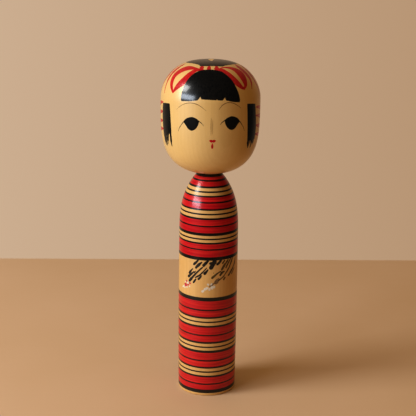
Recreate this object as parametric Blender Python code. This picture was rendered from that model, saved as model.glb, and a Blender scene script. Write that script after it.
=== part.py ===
"""Turned wooden kokeshi doll in its two real pieces, a trunk and a head that turns in it.

The trunk is turned in one piece, with a socket bored in its top that is wider inside than at
its mouth. The head is turned in one piece with its neck tenon, which ends in a bulb a little
wider than that mouth. The bulb is snapped into the socket while the trunk spins, so the head
turns about the upright axis and can't be lifted out.

Units are metres, +Z is up, the origin is the centre of the flat base and the face looks along -Y.
"""

import math

import bmesh
import bpy

# Overall sizes
TOTAL_HEIGHT = 0.2424  # eight sun of 30.3 mm
SEGMENTS = 56  # flats around each turned piece

# Trunk
TRUNK_HEIGHT = 0.1634  # base to the rim around the socket
TRUNK_RADIUS = 0.0213  # at its widest height
TRUNK_WIDEST_AT = 0.070
TRUNK_BARREL = 0.00035  # how much slimmer the trunk is at its base
SHOULDER_START = 0.1161  # height where the side begins to round in to the neck
SHOULDER_POWER = 3.2
TRUNK_TOP_RADIUS = 0.0083
BASE_EDGE_RADIUS = 0.0008

# Neck joint
FIT_GAP = 0.0003  # clearance between the head and the trunk
SOCKET_MOUTH_RADIUS = 0.0060
SOCKET_MOUTH_CHAMFER = 0.0004
SOCKET_INNER_RADIUS = 0.0070
SOCKET_LIP = 0.0060  # length of the narrow mouth
SOCKET_UNDERCUT = 0.0015  # height of the cone from the mouth to the wider bore
SOCKET_DEPTH = 0.0180
BULB_RADIUS = 0.0066
BULB_NOSE = 0.0016  # rounding of the bulb's lower end
TENON_END_GAP = 0.0010  # air below the bulb

# Head: two superellipse halves that meet at the widest height
HEAD_RADIUS = 0.0347
HEAD_WIDEST_AT = 0.2164
CROWN_RADIAL_POWER = 2.77
CROWN_UPRIGHT_POWER = 1.84
CHIN_RADIAL_POWER = 2.35
CHIN_UPRIGHT_POWER = 3.98
CHIN_OVERRUN = 0.00045  # how far the lower curve would pass below the flat seat
SEAT_FILLET = 0.0004  # hollow corner between the tenon and the seat


def remove_existing_objects():
    """Start from an empty scene."""
    for existing in list(bpy.data.objects):
        bpy.data.objects.remove(existing, do_unlink=True)


def wood_material(name, colour, roughness):
    """A plain waxed wood."""
    material = bpy.data.materials.new(name)
    material.use_nodes = True
    shader = material.node_tree.nodes["Principled BSDF"]
    shader.inputs["Base Color"].default_value = (*colour, 1.0)
    shader.inputs["Roughness"].default_value = roughness
    shader.inputs["Metallic"].default_value = 0.0
    material.diffuse_color = (*colour, 1.0)
    return material


def arc(centre_radius, centre_height, radius, start_degrees, end_degrees, steps):
    """Points of a round corner in a turned outline."""
    points = []
    for step in range(steps + 1):
        angle = math.radians(start_degrees + (end_degrees - start_degrees) * step / steps)
        across = radius * math.cos(angle)
        up = radius * math.sin(angle)
        points.append((centre_radius + across, centre_height + up))
    return points


def trunk_radius(height):
    """Outside radius of the trunk: a slight barrel that rounds in to the shoulder."""
    barrel_height = min(height, SHOULDER_START)
    side = TRUNK_RADIUS - TRUNK_BARREL * (1 - barrel_height / TRUNK_WIDEST_AT) ** 2
    if height <= SHOULDER_START:
        return side
    rise = (height - SHOULDER_START) / (TRUNK_HEIGHT - SHOULDER_START)
    return side - (side - TRUNK_TOP_RADIUS) * rise**SHOULDER_POWER


def trunk_outside():
    """The trunk's outline from the centre of the base up to the rim."""
    base_radius = trunk_radius(BASE_EDGE_RADIUS)
    points = [(0.0, 0.0)]
    points += arc(base_radius - BASE_EDGE_RADIUS, BASE_EDGE_RADIUS, BASE_EDGE_RADIUS, -90, 0, 3)
    side_steps = 8
    for step in range(1, side_steps + 1):
        height = BASE_EDGE_RADIUS + (SHOULDER_START - BASE_EDGE_RADIUS) * step / side_steps
        points.append((trunk_radius(height), height))
    shoulder_steps = 18
    for step in range(1, shoulder_steps + 1):
        height = SHOULDER_START + (TRUNK_HEIGHT - SHOULDER_START) * step / shoulder_steps
        points.append((trunk_radius(height), height))
    return points


def socket_inside():
    """The socket's outline from the rim down to its floor."""
    lip_end = TRUNK_HEIGHT - SOCKET_LIP
    floor = TRUNK_HEIGHT - SOCKET_DEPTH
    return [
        (SOCKET_MOUTH_RADIUS + SOCKET_MOUTH_CHAMFER, TRUNK_HEIGHT),
        (SOCKET_MOUTH_RADIUS, TRUNK_HEIGHT - SOCKET_MOUTH_CHAMFER),
        (SOCKET_MOUTH_RADIUS, lip_end),
        (SOCKET_INNER_RADIUS, lip_end - SOCKET_UNDERCUT),
        (SOCKET_INNER_RADIUS, floor),
        (0.0, floor),
    ]


def tenon_outline():
    """The tenon's outline from the centre of the bulb's end up to the seat under the head."""
    neck_radius = SOCKET_MOUTH_RADIUS - FIT_GAP
    end = TRUNK_HEIGHT - SOCKET_DEPTH + TENON_END_GAP
    bulb_top = TRUNK_HEIGHT - SOCKET_LIP - SOCKET_UNDERCUT - FIT_GAP
    undercut_slope = SOCKET_UNDERCUT / (SOCKET_INNER_RADIUS - SOCKET_MOUTH_RADIUS)
    shoulder = bulb_top + (BULB_RADIUS - neck_radius) * undercut_slope
    seat = TRUNK_HEIGHT + FIT_GAP
    points = [(0.0, end)]
    points += arc(BULB_RADIUS - BULB_NOSE, end + BULB_NOSE, BULB_NOSE, -90, 0, 4)
    points += [(BULB_RADIUS, bulb_top), (neck_radius, shoulder)]
    points += arc(neck_radius + SEAT_FILLET, seat - SEAT_FILLET, SEAT_FILLET, 180, 90, 3)
    return points


def head_radius(share, radial_power, upright_power):
    """Radius at a share, from 0 to 1, of the way from the widest height to a pole."""
    return HEAD_RADIUS * (1 - share**upright_power) ** (1 / radial_power)


def head_outside():
    """The head's outline from the edge of the seat up to the top of the crown."""
    seat = TRUNK_HEIGHT + FIT_GAP
    chin_reach = HEAD_WIDEST_AT - (seat - CHIN_OVERRUN)
    crown_reach = TOTAL_HEIGHT - HEAD_WIDEST_AT
    seat_share = (HEAD_WIDEST_AT - seat) / chin_reach
    steps = 14
    # Sines put more points where the jaw and the crown turn in.
    shares = [math.sin(math.radians(90 * step / steps)) for step in range(steps)]
    points = []
    for share in [1.0] + shares[:0:-1]:
        share *= seat_share
        radius = head_radius(share, CHIN_RADIAL_POWER, CHIN_UPRIGHT_POWER)
        points.append((radius, HEAD_WIDEST_AT - chin_reach * share))
    for share in shares:
        radius = head_radius(share, CROWN_RADIAL_POWER, CROWN_UPRIGHT_POWER)
        points.append((radius, HEAD_WIDEST_AT + crown_reach * share))
    points.append((0.0, TOTAL_HEIGHT))
    return points


def turned_object(name, outline, material):
    """Spin an outline of (radius, height) points that starts and ends on the Z axis."""
    mesh = bpy.data.meshes.new(name)
    shape = bmesh.new()
    vertices = [shape.verts.new((radius, 0.0, height)) for radius, height in outline]
    edges = [shape.edges.new(pair) for pair in zip(vertices, vertices[1:])]
    bmesh.ops.spin(
        shape,
        geom=vertices + edges,
        cent=(0.0, 0.0, 0.0),
        axis=(0.0, 0.0, 1.0),
        angle=math.tau,
        steps=SEGMENTS,
        use_merge=True,
    )
    bmesh.ops.remove_doubles(shape, verts=shape.verts[:], dist=1e-6)
    bmesh.ops.recalc_face_normals(shape, faces=shape.faces[:])
    shape.to_mesh(mesh)
    shape.free()
    mesh.shade_smooth()
    mesh.set_sharp_from_angle(angle=math.radians(40))
    mesh.materials.append(material)
    turned = bpy.data.objects.new(name, mesh)
    bpy.context.scene.collection.objects.link(turned)
    return turned


def build():
    """Make the doll's two pieces, both turned about the Z axis that the head turns on."""
    remove_existing_objects()
    head_wood = wood_material("head_wood", (0.66, 0.40, 0.15), 0.32)
    trunk_wood = wood_material("trunk_wood", (0.46, 0.05, 0.03), 0.30)
    turned_object("trunk", trunk_outside() + socket_inside(), trunk_wood)
    turned_object("head", tenon_outline() + head_outside(), head_wood)


build()
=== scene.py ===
"""Looks of the kokeshi doll: two pieces of waxed turned wood and the colours brushed on them.

Each colour is a thin closed film of its own, a few hundredths of a millimetre proud of the wood.
A place on the doll is a pair (around, level). Around is in degrees from the middle of the face,
growing towards the viewer's right. Level is the height above the base in millimetres on the
trunk, and on the head the degrees of latitude seen from a point on the axis inside the head.
"""

import math
from bisect import bisect_right

import bmesh
import bpy
from mathutils import Matrix, Vector, noise


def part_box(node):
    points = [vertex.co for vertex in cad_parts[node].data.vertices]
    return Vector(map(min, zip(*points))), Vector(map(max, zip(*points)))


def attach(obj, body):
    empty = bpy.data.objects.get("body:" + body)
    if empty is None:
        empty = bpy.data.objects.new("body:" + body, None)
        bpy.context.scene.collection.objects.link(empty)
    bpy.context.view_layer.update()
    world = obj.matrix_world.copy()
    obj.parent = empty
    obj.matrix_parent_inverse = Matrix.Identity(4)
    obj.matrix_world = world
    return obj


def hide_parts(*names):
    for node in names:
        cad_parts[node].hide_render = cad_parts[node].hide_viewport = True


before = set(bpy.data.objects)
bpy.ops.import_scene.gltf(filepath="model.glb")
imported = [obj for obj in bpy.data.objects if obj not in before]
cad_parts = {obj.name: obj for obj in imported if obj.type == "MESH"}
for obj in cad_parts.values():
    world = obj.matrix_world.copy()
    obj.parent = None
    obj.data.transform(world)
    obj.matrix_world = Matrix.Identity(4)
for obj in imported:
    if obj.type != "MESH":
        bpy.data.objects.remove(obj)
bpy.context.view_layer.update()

TRUNK_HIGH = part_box("trunk")[1]
HEAD_LOW, HEAD_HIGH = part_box("head")

# Every size from here to the camera is in millimetres.
MM = 0.001
SIDES = 192  # flats round each turned surface
TRUNK_STEPS = 110  # flats up the trunk's side
HEAD_STEPS = 60  # flats up each half of the head
TRUNK_FINE_STEPS = 1600  # the same two for the surfaces that the colours are laid on
HEAD_FINE_STEPS = 900

# Trunk
RIM = TRUNK_HIGH[2] / MM
TRUNK_RADIUS = TRUNK_HIGH[0] / MM
TRUNK_WIDEST_AT = 70.0
TRUNK_BARREL = 0.35  # how much slimmer the trunk is at its base
SHOULDER_START = RIM - 47.3
SHOULDER_POWER = 3.2
TRUNK_TOP_RADIUS = 8.3
BASE_EDGE_RADIUS = 0.8
TOOL_MARK_PITCH = 1.7  # rings that the parting tool left on the base
TOOL_MARK_DEPTH = 0.06

# Neck joint, inside the trunk
FIT_GAP = 0.3
MOUTH_RADIUS = 6.0
MOUTH_CHAMFER = 0.4
SOCKET_RADIUS = 7.0
SOCKET_LIP = 6.0
SOCKET_UNDERCUT = 1.5
SOCKET_DEPTH = 18.0
BULB_RADIUS = 6.6
BULB_NOSE = 1.6
SEAT_FILLET = 0.4

# Head
CROWN = HEAD_HIGH[2] / MM
HEAD_RADIUS = HEAD_HIGH[0] / MM
HEAD_WIDEST_AT = CROWN - 26.0
HEAD_MIDDLE = CROWN - 38.9  # the point that latitudes are seen from
SEAT = RIM + FIT_GAP
CROWN_RADIAL_POWER = 2.77
CROWN_UPRIGHT_POWER = 1.84
CHIN_RADIAL_POWER = 2.35
CHIN_UPRIGHT_POWER = 3.98
CHIN_OVERRUN = 0.45

# Films of colour: how far each stands proud of the wood, and how deep its underside is sunk
SINK = 0.06
RED_LIFT = 0.03
PALE_LIFT = 0.04
LINE_LIFT = 0.045
BLACK_LIFT = 0.05
TOP_LIFT = 0.06
STROKE_STEP = 0.3  # spacing of the points along a brush stroke
STROKE_COLUMN = 0.7  # spacing of the points across it
RING_COLUMN = 1.4  # the same across a ring round the trunk
THINNEST = 0.05  # of a brush stroke, at its ends
SAME_POINT = 0.0001  # points this close are one, as where a film comes to a point

# Red bands of the trunk, from the top: upper edge of the black border above, the red's upper
# edge, the dark line in it, the red's lower edge, and the lower edge of the border below
BANDS = [
    (163.35, 161.7, 159.35, 155.9, 154.7),
    (149.8, 148.8, 145.25, 141.0, 139.9),
    (134.7, 133.4, 128.80, 124.0, 122.0),
    (117.0, 115.8, 111.80, 106.4, 104.0),
    (76.3, 73.5, 66.65, 61.6, 60.3),
    (54.9, 53.5, 47.40, 42.4, 41.0),
    (35.7, 33.9, 27.75, 22.9, 21.7),
    (16.1, 14.8, 9.35, 4.9, 2.2),
]
LINE_WIDTH = 1.0
WAIST_BAND = 3  # the band above the bare waist, which has no thin ring below it

# Camera, in metres and degrees
LENS = 84.4  # millimetres
FILM_WIDTH = 36.0  # millimetres
CAMERA_DISTANCE = 0.6753  # from the doll's axis
CAMERA_HEIGHT = 0.3164
CAMERA_AROUND = -1.8
CAMERA_HEADING = 1.74
CAMERA_PITCH = 14.90
CAMERA_ROLL = 0.81

# Light and table: the colours that are seen, reflected or thrown on the doll from each side
TABLE_REACH = 0.303  # metres from the doll to the table's edges
WINDOW_DISTANCE = 1.5  # metres from the doll's neck to the window's panes
WALL_NEAR_WINDOW = (0.665, 0.498, 0.356)
WALL_FAR = (0.555, 0.385, 0.250)
DARK_ROOM = (0.045, 0.042, 0.040)
ROOM_NEAR_WINDOW = (0.30, 0.17, 0.06)
ROOM_FAR = (0.20, 0.078, 0.0)
CEILING = (0.77, 0.55, 0.28)
TABLE_NEAR_WINDOW = (0.66, 0.53, 0.38)
TABLE_FAR = (0.26, 0.12, 0.01)


# ---------------------------------------------------------------- turned surfaces


class Turned:
    """A surface turned about the Z axis, on which places are found and colours are laid."""

    def __init__(self, outline, level_of):
        self.outline = outline
        self.level_of = level_of
        self.levels = [level_of(radius, height) for radius, height in outline]

    def point(self, place, lift=0.0):
        """The point at a place, lifted off the surface by so many millimetres."""
        around, level = math.radians(place[0]), place[1]
        above = bisect_right(self.levels, level, 1, len(self.levels) - 1)
        (low_radius, low_height), (high_radius, high_height) = self.outline[above - 1 : above + 1]
        share = (level - self.levels[above - 1]) / (self.levels[above] - self.levels[above - 1])
        across, up = high_radius - low_radius, high_height - low_height
        length = math.hypot(across, up)
        radius = low_radius + across * share + lift * up / length
        height = low_height + up * share - lift * across / length
        return Vector((radius * math.sin(around), -radius * math.cos(around), height))

    def place(self, point):
        """The place of a point on or near the surface."""
        around = math.degrees(math.atan2(point.x, -point.y))
        return around, self.level_of(math.hypot(point.x, point.y), point.z)


def trunk_radius(height):
    """Outside radius of the trunk: a slight barrel that rounds in to the shoulder."""
    barrel_height = min(height, SHOULDER_START)
    side = TRUNK_RADIUS - TRUNK_BARREL * (1 - barrel_height / TRUNK_WIDEST_AT) ** 2
    if height <= SHOULDER_START:
        return side
    rise = (height - SHOULDER_START) / (RIM - SHOULDER_START)
    return side - (side - TRUNK_TOP_RADIUS) * rise**SHOULDER_POWER


def head_outline(steps):
    """The head from the edge of its seat up to the crown: two superellipse halves."""
    chin_reach = HEAD_WIDEST_AT - (SEAT - CHIN_OVERRUN)
    crown_reach = CROWN - HEAD_WIDEST_AT
    seat_share = (HEAD_WIDEST_AT - SEAT) / chin_reach
    shares = [math.sin(math.radians(90 * step / steps)) for step in range(steps)]
    points = []
    for share in [1.0] + shares[:0:-1]:
        share *= seat_share
        narrowing = (1 - share**CHIN_UPRIGHT_POWER) ** (1 / CHIN_RADIAL_POWER)
        points.append((HEAD_RADIUS * narrowing, HEAD_WIDEST_AT - chin_reach * share))
    for share in shares:
        narrowing = (1 - share**CROWN_UPRIGHT_POWER) ** (1 / CROWN_RADIAL_POWER)
        points.append((HEAD_RADIUS * narrowing, HEAD_WIDEST_AT + crown_reach * share))
    points.append((0.0, CROWN))
    return points


def trunk_outline(steps):
    """The trunk's side from the top of the rounded base edge up to the rim."""
    points = []
    for step in range(steps + 1):
        height = BASE_EDGE_RADIUS + (RIM - BASE_EDGE_RADIUS) * step / steps
        points.append((trunk_radius(height), height))
    return points


def height_level(radius, height):
    """A level on the trunk is simply a height."""
    return height


def latitude_level(radius, height):
    """A level on the head is a latitude seen from its middle."""
    return math.degrees(math.atan2(height - HEAD_MIDDLE, radius))


TRUNK = Turned(trunk_outline(TRUNK_FINE_STEPS), height_level)
HEAD = Turned(head_outline(HEAD_FINE_STEPS), latitude_level)


def arc(centre_radius, centre_height, radius, start_degrees, end_degrees, steps):
    """Points of a round corner in a turned outline."""
    points = []
    for step in range(steps + 1):
        angle = math.radians(start_degrees + (end_degrees - start_degrees) * step / steps)
        across = radius * math.cos(angle)
        up = radius * math.sin(angle)
        points.append((centre_radius + across, centre_height + up))
    return points


def base_outline():
    """The base from its centre to its rounded edge, with the rings that the tool left."""
    flat_radius = trunk_radius(BASE_EDGE_RADIUS) - BASE_EDGE_RADIUS
    rings = int(flat_radius / TOOL_MARK_PITCH)
    steps = rings * 6
    points = []
    for step in range(steps):
        wave = math.sin(math.pi * rings * step / steps) ** 2
        points.append((flat_radius * step / steps, TOOL_MARK_DEPTH * wave))
    return points + arc(flat_radius, BASE_EDGE_RADIUS, BASE_EDGE_RADIUS, -90, 0, 6)


def socket_outline():
    """The socket from the rim down to the centre of its floor."""
    floor = RIM - SOCKET_DEPTH
    return [
        (MOUTH_RADIUS + MOUTH_CHAMFER, RIM),
        (MOUTH_RADIUS, RIM - MOUTH_CHAMFER),
        (MOUTH_RADIUS, RIM - SOCKET_LIP),
        (SOCKET_RADIUS, RIM - SOCKET_LIP - SOCKET_UNDERCUT),
        (SOCKET_RADIUS, floor),
        (0.0, floor),
    ]


def tenon_outline():
    """The tenon from the centre of the bulb's end up to the seat under the head."""
    end = HEAD_LOW[2] / MM
    neck_radius = MOUTH_RADIUS - FIT_GAP
    bulb_top = RIM - SOCKET_LIP - SOCKET_UNDERCUT - FIT_GAP
    slope = SOCKET_UNDERCUT / (SOCKET_RADIUS - MOUTH_RADIUS)
    points = [(0.0, end)]
    points += arc(BULB_RADIUS - BULB_NOSE, end + BULB_NOSE, BULB_NOSE, -90, 0, 6)
    points += [(BULB_RADIUS, bulb_top), (neck_radius, bulb_top + (BULB_RADIUS - neck_radius) * slope)]
    points += arc(neck_radius + SEAT_FILLET, SEAT - SEAT_FILLET, SEAT_FILLET, 180, 90, 4)
    return points


# ---------------------------------------------------------------- meshes


def piece_from(shape, name, material, body):
    """Turn a bmesh in millimetres into a piece of the visual model."""
    bmesh.ops.remove_doubles(shape, verts=shape.verts[:], dist=SAME_POINT)
    bmesh.ops.recalc_face_normals(shape, faces=shape.faces[:])
    bmesh.ops.scale(shape, vec=(MM, MM, MM), verts=shape.verts[:])
    mesh = bpy.data.meshes.new(name)
    shape.to_mesh(mesh)
    shape.free()
    mesh.shade_smooth()
    mesh.set_sharp_from_angle(angle=math.radians(35))
    mesh.materials.append(material)
    piece = bpy.data.objects.new(name, mesh)
    bpy.context.scene.collection.objects.link(piece)
    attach(piece, body)
    return piece


def turned_piece(name, outline, material, body):
    """Turn an outline that starts and ends on the axis."""
    shape = bmesh.new()
    rings = []
    for radius, height in outline[1:-1]:
        ring = []
        for side in range(SIDES):
            angle = math.tau * side / SIDES
            ring.append(shape.verts.new((radius * math.sin(angle), -radius * math.cos(angle), height)))
        rings.append(ring)
    poles = [shape.verts.new((0.0, 0.0, outline[end][1])) for end in (0, -1)]
    for side in range(SIDES):
        following = (side + 1) % SIDES
        for ring, above in zip(rings, rings[1:]):
            shape.faces.new((ring[side], ring[following], above[following], above[side]))
        shape.faces.new((poles[0], rings[0][following], rings[0][side]))
        shape.faces.new((poles[1], rings[-1][side], rings[-1][following]))
    return piece_from(shape, name, material, body)


def add_film(shape, surface, sheet, lift, closed=False):
    """Add a closed film over a sheet, which is rows of places; a closed sheet meets itself."""
    outer = [[shape.verts.new(surface.point(place, lift)) for place in row] for row in sheet]
    inner = [[shape.verts.new(surface.point(place, -SINK)) for place in row] for row in sheet]
    row_count = len(sheet)
    last = len(sheet[0]) - 1
    for row in range(row_count if closed else row_count - 1):
        after = (row + 1) % row_count
        top, next_top = outer[row], outer[after]
        under, next_under = inner[row], inner[after]
        for left, right in zip(range(last), range(1, last + 1)):
            shape.faces.new((top[left], next_top[left], next_top[right], top[right]))
            shape.faces.new((under[right], next_under[right], next_under[left], under[left]))
        for edge in (0, last):
            shape.faces.new((top[edge], under[edge], next_under[edge], next_top[edge]))
    if not closed:
        for top, under in ((outer[0], inner[0]), (outer[-1], inner[-1])):
            for left, right in zip(range(last), range(1, last + 1)):
                shape.faces.new((top[left], top[right], under[right], under[left]))


def film_piece(name, surface, sheets, lift, material, closed=False):
    """One piece from all the films of a colour on the head or the trunk."""
    shape = bmesh.new()
    for sheet in sheets:
        add_film(shape, surface, sheet, lift, closed)
    body = "head_body" if surface is HEAD else "trunk_body"
    return piece_from(shape, name, material, body)


# ---------------------------------------------------------------- brush work


def wander(position, seed):
    """A smooth unsteadiness between about -1 and 1, the same every run."""
    return noise.noise(Vector((position, seed * 7.31, 0.5))) * 1.6


def curve_through(marks, steps):
    """A smooth curve through marks of any number of values, with so many steps to a span."""
    ends = [marks[0]] + marks + [marks[-1]]
    curve = []
    for before, start, end, after in zip(ends, ends[1:], ends[2:], ends[3:]):
        for step in range(steps):
            share = step / steps
            mark = []
            for a, b, c, d in zip(before, start, end, after):
                bend = 2 * a - 5 * b + 4 * c - d
                turn = 3 * b - a - 3 * c + d
                mark.append(b + 0.5 * share * (c - a + share * (bend + share * turn)))
            curve.append(tuple(mark))
    return curve + [marks[-1]]


def evenly(edge, count):
    """So many places spread evenly along an edge of places joined by straight lines."""
    reach = [0.0]
    for start, end in zip(edge, edge[1:]):
        reach.append(reach[-1] + math.dist(start, end))
    places = []
    for step in range(count):
        wanted = reach[-1] * step / (count - 1)
        above = bisect_right(reach, wanted, 1, len(reach) - 1)
        share = (wanted - reach[above - 1]) / (reach[above] - reach[above - 1])
        places.append(tuple(a + (b - a) * share for a, b in zip(edge[above - 1], edge[above])))
    return places


def stroke(surface, marks, unsteady=0.04, seed=1.0):
    """A sheet for one brush stroke through marks of (around, level, width in millimetres)."""
    points = [surface.point(mark[:2]) for mark in marks]
    longest = max((end - start).length for start, end in zip(points, points[1:]))
    path = curve_through(marks, max(3, math.ceil(longest / STROKE_STEP)))
    centres = [surface.point(mark[:2]) for mark in path]
    reach = [0.0]
    for start, end in zip(centres, centres[1:]):
        reach.append(reach[-1] + (end - start).length)
    columns = max(2, math.ceil(max(mark[2] for mark in marks) / STROKE_COLUMN))
    sheet = []
    for index, (around, level, width) in enumerate(path):
        ahead = centres[min(index + 1, len(path) - 1)] - centres[max(index - 1, 0)]
        outward = surface.point((around, level), 1.0) - centres[index]
        side = outward.cross(ahead).normalized()
        half = width / 2
        to_end = min(reach[index], reach[-1] - reach[index])
        if to_end < half:
            half *= math.sqrt(1 - (1 - to_end / half) ** 2)
        half = max(THINNEST / 2, half * (1 + unsteady * 3 * wander(reach[index] * 0.8, seed)))
        drift = unsteady * wander(reach[index] * 0.5, seed + 3)
        row = []
        for column in range(columns + 1):
            offset = drift + half * (2 * column / columns - 1)
            row.append(surface.place(centres[index] + side * offset))
        sheet.append(row)
    return sheet


def between(surface, low_edge, high_edge, columns):
    """A sheet filled in between two edges that have the same number of places."""
    sheet = []
    for low, high in zip(low_edge, high_edge):
        start, end = surface.point(low), surface.point(high)
        sheet.append([surface.place(start.lerp(end, column / columns)) for column in range(columns + 1)])
    return sheet


def mirrored(marks):
    """The same marks on the other side of the face."""
    return [(-mark[0], *mark[1:]) for mark in marks]


def shifted(marks, around, level):
    """The same marks moved along the surface."""
    return [(mark[0] + around, mark[1] + level, *mark[2:]) for mark in marks]


def ring_sheet(low, high, seed, unsteady=0.04):
    """A sheet for a ring round the trunk, whose edges are a little unsteady."""
    columns = max(2, math.ceil((high - low) / RING_COLUMN))
    sheet = []
    for side in range(SIDES):
        angle = math.tau * side / SIDES
        eastward, northward = math.sin(angle), math.cos(angle)
        low_here = low + unsteady * noise.noise(Vector((eastward * 3, northward * 3, seed)))
        high_here = high + unsteady * noise.noise(Vector((eastward * 3, northward * 3, seed + 50)))
        around = 360 * side / SIDES
        row = []
        for column in range(columns + 1):
            row.append((around, low_here + (high_here - low_here) * column / columns))
        sheet.append(row)
    return sheet


# ---------------------------------------------------------------- materials


class NodeTree:
    """A node tree built up node by node."""

    def __init__(self, tree):
        self.tree = tree

    def node(self, kind, settings, **links):
        """Add a node, fill in its settings and link the named inputs."""
        made = self.tree.nodes.new(kind)
        for key, value in settings.items():
            if isinstance(key, int) or key in made.inputs:
                made.inputs[key].default_value = value
            else:
                setattr(made, key, value)
        for key, source in links.items():
            self.tree.links.new(source, made.inputs[key])
        return made

    def ramp(self, source, low, high, low_value, high_value):
        """Map a range of a value onto another, clamped."""
        settings = {"From Min": low, "From Max": high, "To Min": low_value, "To Max": high_value}
        return self.node("ShaderNodeMapRange", settings, Value=source).outputs["Result"]

    def mixed(self, share, first, second):
        """Mix two colours, each a plain colour or the output of a node."""
        made = self.node("ShaderNodeMix", {"data_type": "RGBA"})
        for socket, value in ((6, first), (7, second)):
            if isinstance(value, tuple):
                made.inputs[socket].default_value = (*value, 1.0)
            else:
                self.tree.links.new(value, made.inputs[socket])
        self.tree.links.new(share, made.inputs[0])
        return made.outputs[2]

    def weighted_sum(self, first, second, weight):
        """First plus weight times second."""
        made = self.node("ShaderNodeMath", {"operation": "MULTIPLY_ADD", 1: weight})
        self.tree.links.new(second, made.inputs[0])
        self.tree.links.new(first, made.inputs[2])
        return made.outputs[0]


class Recipe(NodeTree):
    """A Principled material built up node by node."""

    def __init__(self, name, roughness, coat, coat_roughness, specular=0.25):
        self.material = bpy.data.materials.new(name)
        self.material.use_nodes = True
        super().__init__(self.material.node_tree)
        self.shader = self.tree.nodes["Principled BSDF"]
        self.shader.inputs["Roughness"].default_value = roughness
        self.shader.inputs["Specular IOR Level"].default_value = specular
        self.shader.inputs["Coat Weight"].default_value = coat
        self.shader.inputs["Coat Roughness"].default_value = coat_roughness
        self.place = self.tree.nodes.new("ShaderNodeTexCoord").outputs["Object"]

    def stretched(self, scale, shift=(0.0, 0.0, 0.0), turn=(0.0, 0.0, 0.0)):
        """The object's own coordinates, scaled so that noise draws out along the small axis."""
        settings = {"Scale": scale, "Location": shift, "Rotation": turn}
        return self.node("ShaderNodeMapping", settings, Vector=self.place).outputs["Vector"]

    def grain(self, scale, detail=3.0, shift=(0.0, 0.0, 0.0)):
        """Noise with features 1/scale metres long on each axis."""
        settings = {"Scale": 1.0, "Detail": detail, "Roughness": 0.55}
        where = self.stretched(scale, shift)
        return self.node("ShaderNodeTexNoise", settings, Vector=where).outputs["Fac"]

    def finish(self, colour, roughness, height, depth):
        """Link the colour, the roughness and a bump of the given depth in metres."""
        bump = self.node("ShaderNodeBump", {"Distance": depth, "Strength": 1.0}, Height=height)
        self.tree.links.new(colour, self.shader.inputs["Base Color"])
        self.tree.links.new(roughness, self.shader.inputs["Roughness"])
        self.tree.links.new(bump.outputs["Normal"], self.shader.inputs["Normal"])
        return self.material


def wood(name, pith, early, late, coat, coat_roughness):
    """Pale close-grained wood: growth rings about an upright pith, fibres, pores and wax."""
    recipe = Recipe(name, 0.42, coat, coat_roughness, specular=0.5)
    ring_place = recipe.stretched((1.0, 1.0, 0.12), pith, (0.02, -0.03, 0.0))
    settings = {
        "wave_type": "RINGS",
        "rings_direction": "Z",
        "wave_profile": "SAW",
        "Scale": 105.0,
        "Distortion": 2.2,
        "Detail": 3.0,
        "Detail Scale": 0.35,
    }
    rings = recipe.node("ShaderNodeTexWave", settings, Vector=ring_place).outputs["Fac"]
    ring_share = recipe.ramp(rings, 0.35, 1.0, 0.0, 1.0)
    fibres = recipe.grain((900.0, 900.0, 22.0), 4.0)
    pores = recipe.grain((2600.0, 2600.0, 240.0), 2.0)
    clouds = recipe.grain((35.0, 35.0, 14.0), 2.0)
    colour = recipe.mixed(ring_share, early, late)
    fibre_share = recipe.ramp(fibres, 0.35, 0.72, 0.0, 0.16)
    darker = tuple(0.78 * part for part in late)
    colour = recipe.mixed(fibre_share, colour, darker)
    pore_share = recipe.ramp(pores, 0.66, 0.78, 0.0, 0.2)
    colour = recipe.mixed(pore_share, colour, tuple(0.45 * part for part in late))
    honey = (late[0] * 0.97, late[1] * 0.93, late[2] * 0.80)
    colour = recipe.mixed(recipe.ramp(clouds, 0.42, 0.7, 0.0, 0.55), colour, honey)
    roughness = recipe.ramp(fibres, 0.3, 0.7, 0.36, 0.50)
    turning = recipe.grain((25.0, 25.0, 2200.0), 2.0)
    height = recipe.weighted_sum(recipe.weighted_sum(fibres, turning, 0.5), pore_share, -0.8)
    return recipe.finish(colour, roughness, height, 0.025 * MM)


def dye(name, full, thin, streaks, roughness, coat=0.45):
    """Brushed colour that shows the strokes it was laid on with."""
    recipe = Recipe(name, roughness, coat, coat_roughness=0.15)
    bristles = recipe.grain(streaks, 4.0)
    pools = recipe.grain(tuple(0.12 * part for part in streaks), 2.0, (3.0, 1.0, 2.0))
    share = recipe.weighted_sum(recipe.ramp(bristles, 0.38, 0.72, 0.0, 0.75), pools, 0.3)
    colour = recipe.mixed(recipe.ramp(share, 0.15, 0.95, 0.0, 1.0), full, thin)
    gloss = recipe.ramp(bristles, 0.3, 0.7, roughness - 0.04, roughness + 0.06)
    return recipe.finish(colour, gloss, bristles, 0.006 * MM)


ROUND = (30.0, 30.0, 1500.0)  # streaks that run round the trunk
DOWN = (1500.0, 1500.0, 60.0)  # streaks that run down the head
MOTTLED = (700.0, 700.0, 700.0)  # no streaks, where the brush went every way
BLOTCHED = (500.0, 500.0, 500.0)
CLOUDED = (260.0, 260.0, 260.0)


# ---------------------------------------------------------------- pieces


def build_wood():
    """The two turned pieces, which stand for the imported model's two nodes."""
    early, late = (0.63, 0.400, 0.152), (0.605, 0.375, 0.136)
    trunk_wood = wood("trunk_wood", (0.011, 0.034, 0.0), early, late, 0.32, 0.18)
    side = trunk_outline(TRUNK_STEPS)[1:-1] + [(TRUNK_TOP_RADIUS, RIM)]
    outline = base_outline() + side + socket_outline()
    trunk = turned_piece("trunk_wood", outline, trunk_wood, "trunk_body")
    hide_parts("trunk")
    early, late = (0.70, 0.490, 0.206), (0.685, 0.472, 0.192)
    head_wood = wood("head_wood", (-0.016, 0.052, 0.0), early, late, 0.7, 0.30)
    outline = tenon_outline() + head_outline(HEAD_STEPS)
    head = turned_piece("head_wood", outline, head_wood, "head_body")
    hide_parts("head")


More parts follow.
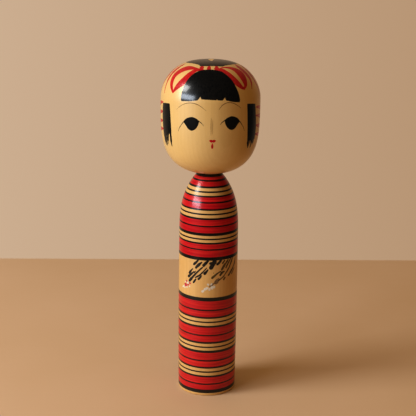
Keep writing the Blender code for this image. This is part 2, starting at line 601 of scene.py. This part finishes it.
def build_bands():
    """The lathe-brushed rings: red bands, their dark lines, and the black rings."""
    reds = []
    lines = []
    blacks = []
    for index, (top, red_top, line, red_bottom, bottom) in enumerate(BANDS):
        seed = index * 3.7
        reds.append(ring_sheet(red_bottom - 0.1, red_top + 0.1, seed))
        lines.append(ring_sheet(line - LINE_WIDTH / 2, line + LINE_WIDTH / 2, seed + 1, 0.12))
        blacks.append(ring_sheet(red_top, top, seed + 2))
        blacks.append(ring_sheet(bottom, red_bottom, seed + 3))
        if index < len(BANDS) - 1 and index != WAIST_BAND:
            middle = (bottom + BANDS[index + 1][0]) / 2
            blacks.append(ring_sheet(middle - LINE_WIDTH / 2, middle + LINE_WIDTH / 2, seed + 4))
    red = dye("lathe_red", (0.42, 0.003, 0.012), (0.67, 0.030, 0.020), ROUND, 0.34, 0.42)
    dark_red = dye("line_ink", (0.008, 0.004, 0.004), (0.05, 0.006, 0.006), ROUND, 0.34)
    black = dye("lathe_black", (0.005, 0.005, 0.004), (0.018, 0.014, 0.009), ROUND, 0.30)
    film_piece("red_bands", TRUNK, reds, RED_LIFT, red, closed=True)
    film_piece("band_lines", TRUNK, lines, LINE_LIFT, dark_red, closed=True)
    film_piece("black_rings", TRUNK, blacks, BLACK_LIFT, black, closed=True)


# The spray on the bare waist. Each row is one stroke, through places with a width in millimetres.
DARK_SPRAY = [
    [(-20, 104.4, 0.9), (-25, 102.4, 1.5), (-31.5, 99.8, 1.6)],
    [(-13, 102.8, 0.8), (-20, 100.6, 1.9), (-27, 97.5, 2.0)],
    [(-1, 104.4, 1.3), (-6, 102.2, 2.0), (-12, 99.6, 2.2)],
    [(13, 104.4, 2.2), (8, 101.4, 3.1), (1.5, 97.4, 2.2)],
    [(6, 102.8, 1.4), (0.5, 101.2, 1.7)],
    [(25, 104.4, 1.4), (20, 102.3, 2.0), (14, 100.6, 1.7)],
    [(-32, 97.2, 0.7), (-37, 94.9, 1.4), (-41.5, 92.6, 1.5)],
    [(-29.5, 95.2, 0.6), (-37, 92.3, 1.7), (-44, 89.9, 1.7)],
    [(-10, 99.8, 0.7), (-20, 96.1, 1.2), (-29, 92.4, 1.4), (-35.5, 89.4, 2.0), (-41, 86.8, 1.6)],
    [(-26, 95.6, 0.7), (-31, 93.8, 1.2)],
    [(-4, 98.8, 0.7), (-13, 94.8, 1.0), (-20, 92.3, 1.1), (-28, 90.6, 0.8)],
    [(-1.5, 97.6, 0.9), (-5.5, 95.5, 1.8), (-10, 93.5, 1.8)],
    [(-14, 93.0, 0.7), (-17, 91.3, 1.4), (-21.5, 89.2, 1.4)],
    [(-25, 90.0, 0.8), (-28, 88.3, 1.4), (-31.5, 86.3, 1.4)],
]
FADED_SPRAY = [
    [(64, 103.2, 0.9), (59, 98.6, 1.2), (53, 95.8, 1.2), (46, 93.2, 1.8), (40, 91.0, 1.1)],
    [(53, 104.2, 1.0), (48, 100.8, 1.4), (43, 97.5, 1.2), (38, 95.2, 1.0), (33, 93.1, 0.9)],
    [(47, 104.2, 1.0), (42, 101.6, 1.2), (37, 99.0, 1.2), (34, 97.2, 0.8)],
    [(34, 101.4, 1.1), (29, 98.6, 1.9), (24, 96.2, 1.6)],
    [(32, 95.2, 1.0), (26, 94.4, 1.6), (21, 92.2, 1.5)],
    [(24, 95.6, 0.9), (16, 94.2, 1.2), (10, 92.4, 1.5), (5, 90.5, 1.8)],
    [(34, 90.9, 0.9), (31, 89.6, 1.5), (29, 88.6, 1.1)],
    [(34, 93.2, 0.8), (28, 91.1, 1.0), (23, 89.8, 1.0), (18, 88.7, 0.9)],
    [(41, 104.0, 1.0), (36, 101.6, 1.3), (31, 100.0, 0.9)],
    [(32, 103.6, 1.1), (26, 101.0, 1.4)],
    [(60, 96.0, 0.6), (54, 93.4, 0.9), (49, 91.6, 0.7)],
    [(9.4, 95.0, 0.9), (8.2, 94.5, 0.9)],
]
STEM = [
    [(20, 90.6, 1.2), (16, 88.7, 2.8), (11.5, 86.4, 1.8)],
    [(13, 87.4, 1.2), (7.3, 86.4, 1.4), (0.6, 84.4, 1.3)],
]
CRIMSON_PETALS = [
    [(-45.6, 85.8, 1.0), (-48.6, 87.2, 1.3)],
    [(-47.8, 84.3, 1.0), (-54.0, 83.9, 1.2)],
    [(-46.6, 84.0, 1.2), (-51.6, 82.5, 2.0)],
    [(-45.2, 84.4, 1.1), (-41.6, 83.7, 1.8)],
    [(-41.6, 85.9, 1.0), (-36.6, 85.5, 1.5)],
]
PALE_PETALS = [
    # of the blossom on the left
    [(-47.0, 86.4, 1.4), (-44.0, 85.6, 2.0), (-41.6, 85.2, 1.6)],
    [(-54.2, 82.4, 1.1), (-57.6, 81.4, 1.3), (-60.4, 80.8, 0.7)],
    [(-51.0, 81.8, 0.9), (-53.6, 80.8, 1.2)],
    [(-46.6, 82.8, 1.2), (-45.8, 81.4, 1.6)],
    [(-40.6, 84.0, 1.0), (-38.6, 82.6, 1.3)],
    [(-49.8, 85.4, 0.8), (-52.4, 85.8, 1.0)],
    # of the blossom in the middle
    [(0.6, 85.6, 1.2), (-3.4, 86.7, 1.7)],
    [(3.0, 85.6, 1.2), (6.6, 87.2, 1.7)],
    [(3.6, 84.7, 1.2), (12.6, 84.2, 1.9)],
    [(3.0, 84.0, 1.2), (8.2, 82.6, 1.7)],
    [(1.0, 83.6, 1.2), (1.6, 81.6, 1.8)],
    [(-0.8, 84.2, 1.4), (-5.4, 83.0, 2.1), (-9.6, 82.2, 1.6)],
    [(-8.8, 81.8, 1.3), (-14.0, 80.3, 1.9)],
]


def build_waist():
    """The flowering spray brushed on the bare waist, dark on the left and faded on the right."""
    ink = dye("spray_ink", (0.009, 0.008, 0.007), (0.035, 0.028, 0.020), MOTTLED, 0.36)
    olive = dye("faded_ink", (0.065, 0.043, 0.014), (0.18, 0.11, 0.032), MOTTLED, 0.42)
    wash = dye("stem_wash", (0.16, 0.10, 0.055), (0.30, 0.18, 0.08), MOTTLED, 0.42)
    crimson = dye("crimson", (0.44, 0.008, 0.060), (0.58, 0.050, 0.120), MOTTLED, 0.40)
    white = dye("petal_white", (0.64, 0.64, 0.58), (0.62, 0.50, 0.36), MOTTLED, 0.48)
    groups = [
        ("waist_spray", DARK_SPRAY, BLACK_LIFT, ink, "black_ink"),
        ("faded_spray", FADED_SPRAY, LINE_LIFT, olive, "brown_wash"),
        ("stem_wash", STEM, PALE_LIFT, wash, "brown_wash"),
        ("petals_white", PALE_PETALS, PALE_LIFT, white, "blossom_paint"),
        ("petals_crimson", CRIMSON_PETALS, LINE_LIFT, crimson, "blossom_paint"),
    ]
    for name, group, lift, material, slot in groups:
        sheets = [stroke(TRUNK, marks, 0.06, index + 1.5) for index, marks in enumerate(group)]
        film_piece(name, TRUNK, sheets, lift, material)


def build_crown_hair(ink):
    """The round cap of hair on the crown, with its narrow parting left bare."""
    left = [(-180, 61.0), (-120, 63.0), (-79, 65.9), (-52, 67.2), (-31, 65.6), (-26, 63.2), (-18, 63.4)]
    right = [
        (0, 64.2), (17, 63.4), (24, 63.0), (30, 64.4),
        (52, 65.4), (79, 64.4), (120, 62.4), (180, 61.0),
    ]
    edge = curve_through(left + right, 12)
    outside = evenly(edge, 181)[:-1]
    parting_width = 4.4
    parting_length = 16.4
    parting_middle = 2.0  # how far it lies behind the axis
    parting = []
    for around, _ in outside:
        angle = math.radians(around)
        lengthwise = math.cos(angle)
        across = parting_width / 2 * math.sin(angle) * (1 - 0.45 * abs(lengthwise))
        along = parting_middle - parting_length / 2 * lengthwise
        parting.append(HEAD.place(Vector((across, along, CROWN))))
    sheets = [between(HEAD, parting, outside, 14)]
    film_piece("crown_hair", HEAD, sheets, BLACK_LIFT, ink, closed=True)


def build_fringe(ink):
    """The fringe: an arch of hair on the forehead, cut level above the brows."""
    arch = [
        (-36.8, 24.0),
        (-36.6, 31.6),
        (-35.4, 38.9),
        (-32.2, 46.4),
        (-27.0, 52.2),
        (-18.8, 56.2),
        (-2.5, 57.9),
        (13.7, 55.6),
        (20.4, 51.4),
        (25.5, 46.3),
        (28.1, 41.7),
        (30.4, 35.5),
        (31.9, 30.6),
        (33.0, 24.4),
    ]
    cut = [
        (-36.8, 24.0),
        (-35.8, 22.6),
        (-24.4, 23.2),
        (-16.2, 24.5),
        (-13.2, 28.2),
        (-12.0, 25.6),
        (-1.9, 25.3),
        (4.6, 25.0),
        (5.3, 26.2),
        (6.0, 24.9),
        (11.6, 24.7),
        (14.4, 27.4),
        (15.6, 24.7),
        (23.1, 23.1),
        (32.0, 22.2),
        (33.0, 24.4),
    ]
    count = 220
    low = evenly(cut, count)
    ragged = [(around, level + 0.14 * wander(around * 2.2, 4.0)) for around, level in low]
    high = evenly(curve_through(arch, 10), count)
    film_piece("fringe", HEAD, [between(HEAD, ragged, high, 18)], BLACK_LIFT, ink)


def build_side_locks(ink):
    """A lock of hair before each ear, whose lower end splits where the brush ran dry."""
    left_outer = [(-71.0, 16.8), (-72.4, 8.0), (-72.4, 0.0), (-71.6, -10.0), (-70.8, -16.0)]
    left_inner = [(-54.4, 18.2), (-53.2, 9.0), (-52.4, 0.0), (-51.8, -10.0), (-52.0, -15.0)]
    right_outer = [(59.2, 18.2), (61.0, 9.0), (62.6, 0.0), (63.4, -9.0), (62.6, -21.0)]
    right_inner = [(43.6, 19.8), (44.2, 10.0), (44.7, 2.0), (45.5, -10.0), (46.8, -21.5)]
    count = 60
    sheets = []
    for outer, inner in ((left_outer, left_inner), (right_outer, right_inner)):
        outer_edge = evenly(curve_through(outer, 8), count)
        inner_edge = evenly(curve_through(inner, 8), count)
        sheets.append(between(HEAD, outer_edge, inner_edge, 12))
    tails = [
        [(-68.8, -12.0, 2.6), (-68.6, -19.0, 2.5), (-68.0, -25.0, 1.9), (-67.0, -29.6, 0.5)],
        [(-65.4, -12.0, 2.4), (-65.2, -19.0, 2.4), (-64.8, -25.0, 1.8), (-64.0, -30.0, 0.4)],
        [(-61.4, -12.0, 2.4), (-61.2, -19.0, 2.2), (-61.2, -23.6, 1.3), (-61.6, -28.0, 0.3)],
        [(-57.6, -12.0, 2.0), (-58.0, -16.0, 1.4), (-58.6, -20.0, 0.8), (-59.0, -24.0, 0.3)],
        [(-53.8, -12.0, 2.1), (-53.6, -18.0, 2.0), (-53.6, -24.0, 1.6), (-53.4, -29.0, 0.4)],
        [(48.4, -18.0, 2.2), (48.9, -24.0, 2.0), (49.8, -29.6, 0.5)],
        [(52.2, -18.0, 1.8), (52.2, -22.0, 1.0), (52.4, -25.0, 0.4)],
        [(56.0, -18.0, 2.4), (55.8, -24.0, 1.8), (54.6, -29.6, 0.5)],
        [(60.0, -18.0, 2.2), (59.6, -23.0, 1.5), (58.6, -27.0, 0.4)],
    ]
    sheets += [stroke(HEAD, marks, 0.08, index + 2.5) for index, marks in enumerate(tails)]
    film_piece("side_locks", HEAD, sheets, BLACK_LIFT, ink)


def build_eyes(ink):
    """The eyes and the fine lines of their lids, drawn alike, the right one a little higher."""
    lid = [(14.3, 2.9), (18.2, 6.0), (23.0, 7.2), (28.6, 5.3), (32.6, 1.1)]
    under = [(14.3, 2.9), (15.6, -1.4), (18.4, -5.4), (22.6, -7.5), (26.6, -6.1), (29.8, -2.2), (32.6, 1.1)]
    lashes = [
        (9.0, -1.5, 0.12),
        (11.0, 1.1, 0.30),
        (13.9, 3.2, 0.5),
        (18.0, 6.1, 0.5),
        (23.0, 7.3, 0.5),
        (28.8, 5.4, 0.5),
        (33.0, 1.3, 0.5),
        (36.0, -2.4, 0.34),
        (38.8, -6.3, 0.24),
        (40.2, -10.0, 0.12),
    ]
    count = 40
    eyes = []
    lines = []
    for flip, rise in ((False, 0.6), (True, -0.6)):
        upper = evenly(curve_through(shifted(lid, 0.0, rise), 8), count)
        lower = evenly(curve_through(shifted(under, 0.0, rise), 8), count)
        lash = shifted(lashes, 0.0, rise)
        if flip:
            upper, lower, lash = mirrored(upper), mirrored(lower), mirrored(lash)
        eyes.append(between(HEAD, lower, upper, 10))
        lines.append(stroke(HEAD, lash, 0.02, rise + 5))
    film_piece("eyes", HEAD, eyes, BLACK_LIFT, ink)
    film_piece("lid_lines", HEAD, lines, TOP_LIFT, ink)


def build_brows_and_nose():
    """The hair-thin lines of the face, in thin brown ink."""
    left_brow = [
        (-43, 13.4, 0.08), (-34.4, 19, 0.24), (-25.2, 21.5, 0.36),
        (-15.1, 20, 0.34), (-6.3, 14.4, 0.1),
    ]
    right_brow = [
        (7.4, 15.5, 0.1), (11.4, 20.1, 0.34), (17.9, 22.5, 0.38),
        (25.5, 21.2, 0.34), (34.6, 16.2, 0.14),
    ]
    left_of_nose = [(-0.7, 6.6, 0.10), (-0.9, -1.0, 0.28), (-0.7, -12.4, 0.10)]
    right_of_nose = [(0.9, 4.6, 0.08), (1.0, -2.0, 0.20), (0.9, -11.0, 0.08)]
    lines = [left_brow, right_brow, left_of_nose, right_of_nose]
    wash = dye("thin_brown", (0.10, 0.045, 0.012), (0.26, 0.13, 0.035), MOTTLED, 0.40)
    sheets = [stroke(HEAD, marks, 0.02, index + 6.5) for index, marks in enumerate(lines)]
    film_piece("brows_and_nose", HEAD, sheets, LINE_LIFT, wash)


def build_lips():
    """The mouth: two dabs that meet, and one below them."""
    lips = [
        [(-2.5, -18.0, 0.9), (-0.6, -18.6, 1.8), (1.4, -19.3, 1.8)],
        [(4.7, -18.0, 0.9), (2.8, -18.6, 1.8), (0.8, -19.3, 1.8)],
        [(1.0, -21.0, 0.4), (0.9, -24.2, 1.5), (0.9, -26.9, 1.1)],
    ]
    lip_red = dye("lip_red", (0.45, 0.004, 0.014), (0.52, 0.012, 0.020), MOTTLED, 0.36)
    sheets = [stroke(HEAD, marks, 0.02) for marks in lips]
    film_piece("lips", HEAD, sheets, BLACK_LIFT, lip_red)


def ribbon_loop_sheets():
    """The two ribbon loops. Each is two brush strokes that leave a bare leaf of wood between."""
    left_upper_out = [
        (-23, 58.8), (-40, 61.3), (-52, 61.3), (-61, 57.6),
        (-66.6, 50.6), (-66.4, 44.5), (-60.2, 36), (-50.9, 28.7),
    ]
    left_upper_in = [
        (-23, 57.8), (-38.4, 56), (-46, 54.1), (-52, 51),
        (-56.4, 47), (-57.2, 43), (-55, 37), (-51.0, 31.8),
    ]
    left_lower_in = [
        (-23.5, 58.6), (-32, 56.9), (-38, 52), (-42.4, 46.3),
        (-46.7, 40.5), (-49.7, 35), (-51.2, 30.4),
    ]
    left_lower_out = [
        (-21.5, 56.6), (-26, 53.4), (-31.4, 48.0), (-34.6, 41.5),
        (-37.2, 37.6), (-42.5, 34.4), (-50.3, 28.6),
    ]
    right_upper_out = [
        (13.5, 59.8), (24, 62.0), (39, 61.4), (49, 58.4), (55, 54),
        (55.4, 48.5), (52.2, 42.2), (47, 36.4), (41, 33.6),
    ]
    right_upper_in = [
        (13.5, 59), (24, 60.1), (31.6, 59), (36.6, 56.6), (39.6, 52.8),
        (41.2, 47.7), (42.8, 42), (43.2, 38), (41, 35.6),
    ]
    right_lower_in = [
        (13, 59.8), (20, 59.1), (24.5, 56.2), (29.4, 52.1),
        (33.7, 47), (37.4, 42), (40.3, 37.6), (43, 35),
    ]
    right_lower_out = [
        (12.5, 56.4), (20, 51.9), (23.8, 48.4), (26.6, 43.8),
        (29.8, 39.2), (33.8, 36.3), (38.1, 34.4), (42.6, 33.4),
    ]
    pairs = [
        (left_upper_out, left_upper_in),
        (left_lower_in, left_lower_out),
        (right_upper_out, right_upper_in),
        (right_lower_in, right_lower_out),
    ]
    count = 70
    sheets = []
    for first, second in pairs:
        first_edge = evenly(curve_through(first, 10), count)
        second_edge = evenly(curve_through(second, 10), count)
        sheets.append(between(HEAD, first_edge, second_edge, 6))
    return sheets


def build_ribbons():
    """Red hair ribbons: two loops, the knots between them, loose strands and side dabs."""
    strands = [
        [
            (-78, 63.5, 1.6), (-75.6, 57, 3.2), (-75.2, 50, 3.3),
            (-74.2, 44, 2.5), (-72.2, 38, 1.5), (-68.4, 26.6, 0.3),
        ],
        [
            (-102, 62.5, 1.4), (-94, 55, 3.2), (-87.4, 47.5, 4.2),
            (-87.0, 41, 3.4), (-88.6, 34, 1.9), (-88.4, 25, 0.3),
        ],
        [
            (66, 64.4, 2.0), (62.4, 58, 4.0), (62.0, 51, 4.2),
            (62.2, 45, 3.3), (60.6, 40.4, 1.9), (55.6, 33, 0.4),
        ],
        [(94, 62.6, 1.6), (82, 56, 3.2), (76, 48, 4.0), (74.6, 41, 3.2), (75.2, 33.5, 1.8), (77, 24, 0.3)],
    ]
    behind = [
        (122, 61.5, 1.3), (112, 54, 2.6), (106, 46, 3.1),
        (104.6, 39, 2.4), (105.4, 32, 1.4), (104.4, 24, 0.3),
    ]
    strands += [behind, mirrored(behind)]
    knots = [
        [(-20.6, 64.6, 1.9), (-19.8, 60.5, 2.8), (-17.8, 54.6, 4.5)],
        [(-5.6, 64.8, 1.3), (-5.6, 60.5, 2.2), (-5.6, 55.4, 3.4)],
        [(9.4, 64.8, 1.5), (9.2, 60.5, 2.8), (8.4, 54.9, 4.4)],
    ]
    dab = [(0.0, 0.0, 0.8), (7.0, -0.8, 1.9), (17.0, -2.6, 3.0), (26.0, -4.2, 3.0)]
    dabs = []
    for left_level, right_level in ((17.7, 14.6), (7.6, 5.2), (-2.8, -6.2), (-12.0, -15.8)):
        dabs.append(shifted(mirrored(dab), -69.6, left_level))
        dabs.append(shifted(dab, 61.4, right_level))
    red = dye("ribbon_red", (0.43, 0.006, 0.012), (0.58, 0.030, 0.024), BLOTCHED, 0.34)
    film_piece("ribbon_loops", HEAD, ribbon_loop_sheets(), RED_LIFT, red)
    for name, group in (("ribbon_strands", strands), ("ribbon_knots", knots), ("side_dabs", dabs)):
        sheets = [stroke(HEAD, marks, 0.06, index + 8.5) for index, marks in enumerate(group)]
        film_piece(name, HEAD, sheets, RED_LIFT, red)


# ---------------------------------------------------------------- stage, camera and light


def add_camera():
    """The photographer's view: a long lens a little above the doll."""
    data = bpy.data.cameras.new("camera")
    data.lens = LENS
    data.sensor_width = FILM_WIDTH
    camera = bpy.data.objects.new("camera", data)
    around = math.radians(CAMERA_AROUND)
    heading = math.radians(CAMERA_HEADING)
    pitch = math.radians(CAMERA_PITCH)
    roll = math.radians(CAMERA_ROLL)
    level_forward = Vector((math.sin(heading), math.cos(heading), 0.0))
    forward = level_forward * math.cos(pitch) - Vector((0.0, 0.0, math.sin(pitch)))
    level_right = Vector((math.cos(heading), -math.sin(heading), 0.0))
    level_up = level_right.cross(forward)
    right = level_right * math.cos(roll) + level_up * math.sin(roll)
    up = right.cross(forward)
    turn = Matrix((right, up, -forward)).transposed()
    camera.matrix_world = turn.to_4x4()
    camera.location = (
        CAMERA_DISTANCE * math.sin(around),
        -CAMERA_DISTANCE * math.cos(around),
        CAMERA_HEIGHT,
    )
    bpy.context.scene.collection.objects.link(camera)
    bpy.context.scene.camera = camera


def add_pane(name, around, elevation, size, power, colour):
    """One pane of a soft window light, aimed at the doll's neck."""
    data = bpy.data.lights.new(name, "AREA")
    data.shape = "RECTANGLE"
    data.size, data.size_y = size
    data.energy = power
    data.color = colour
    light = bpy.data.objects.new(name, data)
    turn, tilt = math.radians(around), math.radians(elevation)
    level = Vector((math.sin(turn), -math.cos(turn), 0.0))
    outward = level * math.cos(tilt) + Vector((0.0, 0.0, math.sin(tilt)))
    light.location = Vector((0.0, 0.0, RIM * MM)) + outward * WINDOW_DISTANCE
    light.rotation_euler = outward.to_track_quat("Z", "Y").to_euler()
    bpy.context.scene.collection.objects.link(light)


def add_table():
    """A plain pale table top, a little bigger than the view."""
    shape = bmesh.new()
    bmesh.ops.create_grid(shape, x_segments=2, y_segments=2, size=TABLE_REACH)
    mesh = bpy.data.meshes.new("table")
    shape.to_mesh(mesh)
    shape.free()
    table = bpy.data.objects.new("table", mesh)
    bpy.context.scene.collection.objects.link(table)
    recipe = Recipe("table", 0.6, coat=0.0, coat_roughness=0.3)
    clouds = recipe.ramp(recipe.grain((9.0, 9.0, 9.0), 2.0), 0.3, 0.7, 0.0, 1.0)
    fibres = recipe.grain((18.0, 500.0, 18.0), 3.0)
    colour = recipe.mixed(clouds, (0.64, 0.475, 0.33), (0.62, 0.455, 0.305))
    roughness = recipe.ramp(fibres, 0.3, 0.7, 0.55, 0.65)
    table.data.materials.append(recipe.finish(colour, roughness, fibres, 0.01 * MM))


def light_the_room():
    """What lies beyond the table: to the eye a pale wall, to reflections a dark room with that
    wall behind the doll, and to everything else a warm light from all round."""
    world = bpy.data.worlds.new("room")
    bpy.context.scene.world = world
    world.use_nodes = True
    room = NodeTree(world.node_tree)
    direction = room.node("ShaderNodeTexCoord", {}).outputs["Generated"]
    x, y, z = room.node("ShaderNodeSeparateXYZ", {}, Vector=direction).outputs
    wall = room.mixed(room.ramp(x, -0.18, 0.24, 0.0, 1.0), WALL_NEAR_WINDOW, WALL_FAR)
    mirrored_room = room.mixed(room.ramp(y, 0.35, 0.85, 0.0, 0.8), DARK_ROOM, wall)
    away = room.ramp(x, -0.6, 0.6, 0.0, 1.0)
    sides = room.mixed(away, ROOM_NEAR_WINDOW, ROOM_FAR)
    table = room.mixed(away, TABLE_NEAR_WINDOW, TABLE_FAR)
    warm_light = room.mixed(room.ramp(z, 0.55, 0.95, 0.0, 1.0), sides, CEILING)
    warm_light = room.mixed(room.ramp(z, 0.0, -0.15, 0.0, 1.0), warm_light, table)
    path = room.node("ShaderNodeLightPath", {}).outputs
    colour = room.mixed(path["Is Glossy Ray"], warm_light, mirrored_room)
    colour = room.mixed(path["Is Camera Ray"], colour, wall)
    room.tree.links.new(colour, room.tree.nodes["Background"].inputs["Color"])


def build_stage():
    """Camera, table and light."""
    add_camera()
    add_table()
    light_the_room()
    add_pane("upper_pane", -74.0, 33.0, (0.52, 0.42), 12.5, (1.0, 1.0, 0.98))
    add_pane("lower_pane", -58.0, 14.0, (1.00, 0.34), 16.5, (0.89, 0.97, 1.09))
    look = bpy.context.scene.view_settings
    look.view_transform = "Standard"
    look.gamma = 0.8


def build_doll():
    """Every piece of the doll."""
    hair_ink = dye("hair_ink", (0.004, 0.004, 0.004), (0.012, 0.010, 0.008), DOWN, 0.30, 0.6)
    crown_ink = dye("crown_ink", (0.009, 0.006, 0.004), (0.028, 0.017, 0.009), CLOUDED, 0.32, 0.5)
    build_wood()
    build_bands()
    build_waist()
    build_crown_hair(crown_ink)
    build_fringe(hair_ink)
    build_side_locks(hair_ink)
    build_eyes(hair_ink)
    build_brows_and_nose()
    build_lips()
    build_ribbons()


build_doll()
build_stage()
